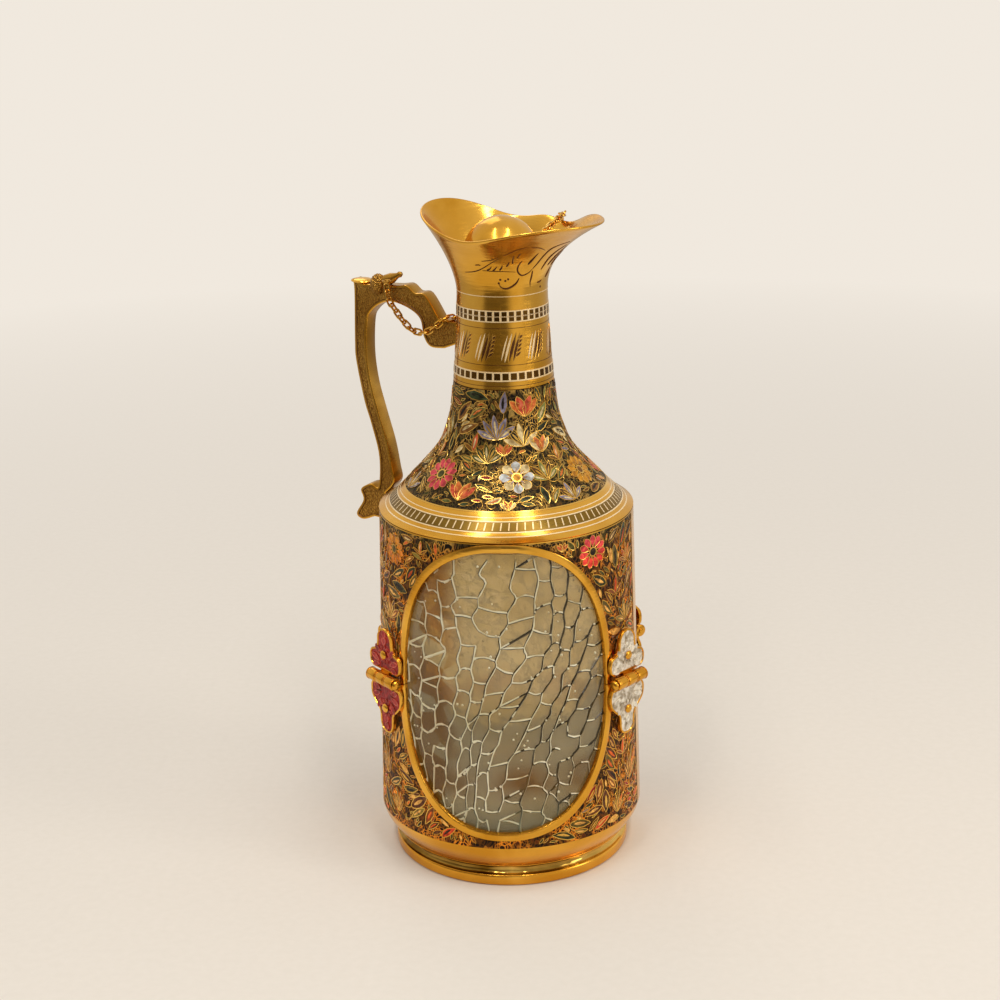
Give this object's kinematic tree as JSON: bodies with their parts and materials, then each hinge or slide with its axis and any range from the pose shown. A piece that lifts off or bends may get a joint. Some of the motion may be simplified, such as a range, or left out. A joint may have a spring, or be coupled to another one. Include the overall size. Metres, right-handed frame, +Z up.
{
  "type": "pitcher with chained stopper",
  "caption": "Brass-cased glass pitcher with a saddle-shaped pouring mouth, an S-shaped handle, a ball stopper on a chain, oval windows and butterfly hinges.",
  "frame": {"origin": "middle of the foot's underside, where the pitcher stands", "axes": "+Z up through the neck, -Y out through the front window, the handle at 117.5 degrees to the left of the front, the spout at 60 degrees to its right"},
  "size_m": [0.1139, 0.1038, 0.2513],
  "materials": {
    "brass": "polished gold-coloured brass with cut engraving",
    "enamelled_brass": "engraved brass with a dark ground and flowers in red, pink, yellow, lavender and green enamel",
    "red_enamel": "deep red enamel over brass with bright edges",
    "white_enamel": "silvery white enamel over brass with bright edges",
    "glass": "olive-tinted glass with a raised crackle net",
    "cork": "natural cork"
  },
  "bodies": {
    "pitcher": {"foot_ring": "brass", "base_plate": "brass", "glass_liner": "glass", "lower_casing": "enamelled_brass", "upper_casing": "enamelled_brass", "front_trim_upper": "brass", "front_trim_lower": "brass", "rear_trim_upper": "brass", "rear_trim_lower": "brass", "shoulder_cone": "enamelled_brass", "neck_and_mouth": "brass", "handle": "brass", "front_left_upper_leaf": "red_enamel", "front_left_lower_leaf": "red_enamel", "front_left_upper_rivet": "brass", "front_left_lower_rivet": "brass", "front_right_upper_leaf": "white_enamel", "front_right_lower_leaf": "white_enamel", "front_right_upper_rivet": "brass", "front_right_lower_rivet": "brass", "rear_right_upper_leaf": "white_enamel", "rear_right_lower_leaf": "white_enamel", "rear_right_upper_rivet": "brass", "rear_right_lower_rivet": "brass", "rear_left_upper_leaf": "red_enamel", "rear_left_lower_leaf": "red_enamel", "rear_left_upper_rivet": "brass", "rear_left_lower_rivet": "brass", "chain_wrap_link_1": "brass", "chain_wrap_link_2": "brass", "chain_wrap_link_3": "brass", "chain_wrap_link_4": "brass", "chain_wrap_link_5": "brass", "chain_rear_run": "brass"},
    "stopper": {"stopper_ball": "brass", "stopper_cork": "cork", "stopper_stem": "brass", "chain_mouth_link_1": "brass", "chain_mouth_link_2": "brass", "chain_mouth_link_3": "brass", "chain_mouth_link_4": "brass", "chain_mouth_link_5": "brass", "stopper_eyelet": "brass"},
    "chain_swag": {"chain_swag_link_1": "brass", "chain_swag_link_2": "brass", "chain_swag_link_3": "brass", "chain_swag_link_4": "brass", "chain_swag_link_5": "brass", "chain_swag_link_6": "brass", "chain_swag_link_7": "brass", "chain_swag_link_8": "brass", "chain_swag_link_9": "brass"},
    "front_left_pin": {"front_left_hinge_pin": "brass"},
    "front_right_pin": {"front_right_hinge_pin": "brass"},
    "rear_right_pin": {"rear_right_hinge_pin": "brass"},
    "rear_left_pin": {"rear_left_hinge_pin": "brass"}
  },
  "joints": [
    {"name": "stopper_lift", "type": "slide", "parent": "pitcher", "child": "stopper", "axis": [0, 0, 1], "range_m": [0, 0.03]},
    {"name": "chain_swing", "type": "hinge", "parent": "pitcher", "child": "chain_swag", "pos_m": [-0.04433, 0.01721, 0.21916], "axis": [0.5783, -0.3008, -0.7583], "range_deg": [-40, 4]},
    {"name": "front_left_pin_slide", "type": "slide", "parent": "pitcher", "child": "front_left_pin", "axis": [0.6428, -0.766, 0], "range_m": [0, 0.018]},
    {"name": "front_right_pin_slide", "type": "slide", "parent": "pitcher", "child": "front_right_pin", "axis": [-0.6428, -0.766, 0], "range_m": [0, 0.018]},
    {"name": "rear_right_pin_slide", "type": "slide", "parent": "pitcher", "child": "rear_right_pin", "axis": [-0.6428, 0.766, 0], "range_m": [0, 0.018]},
    {"name": "rear_left_pin_slide", "type": "slide", "parent": "pitcher", "child": "rear_left_pin", "axis": [0.6428, 0.766, 0], "range_m": [0, 0.018]}
  ]
}
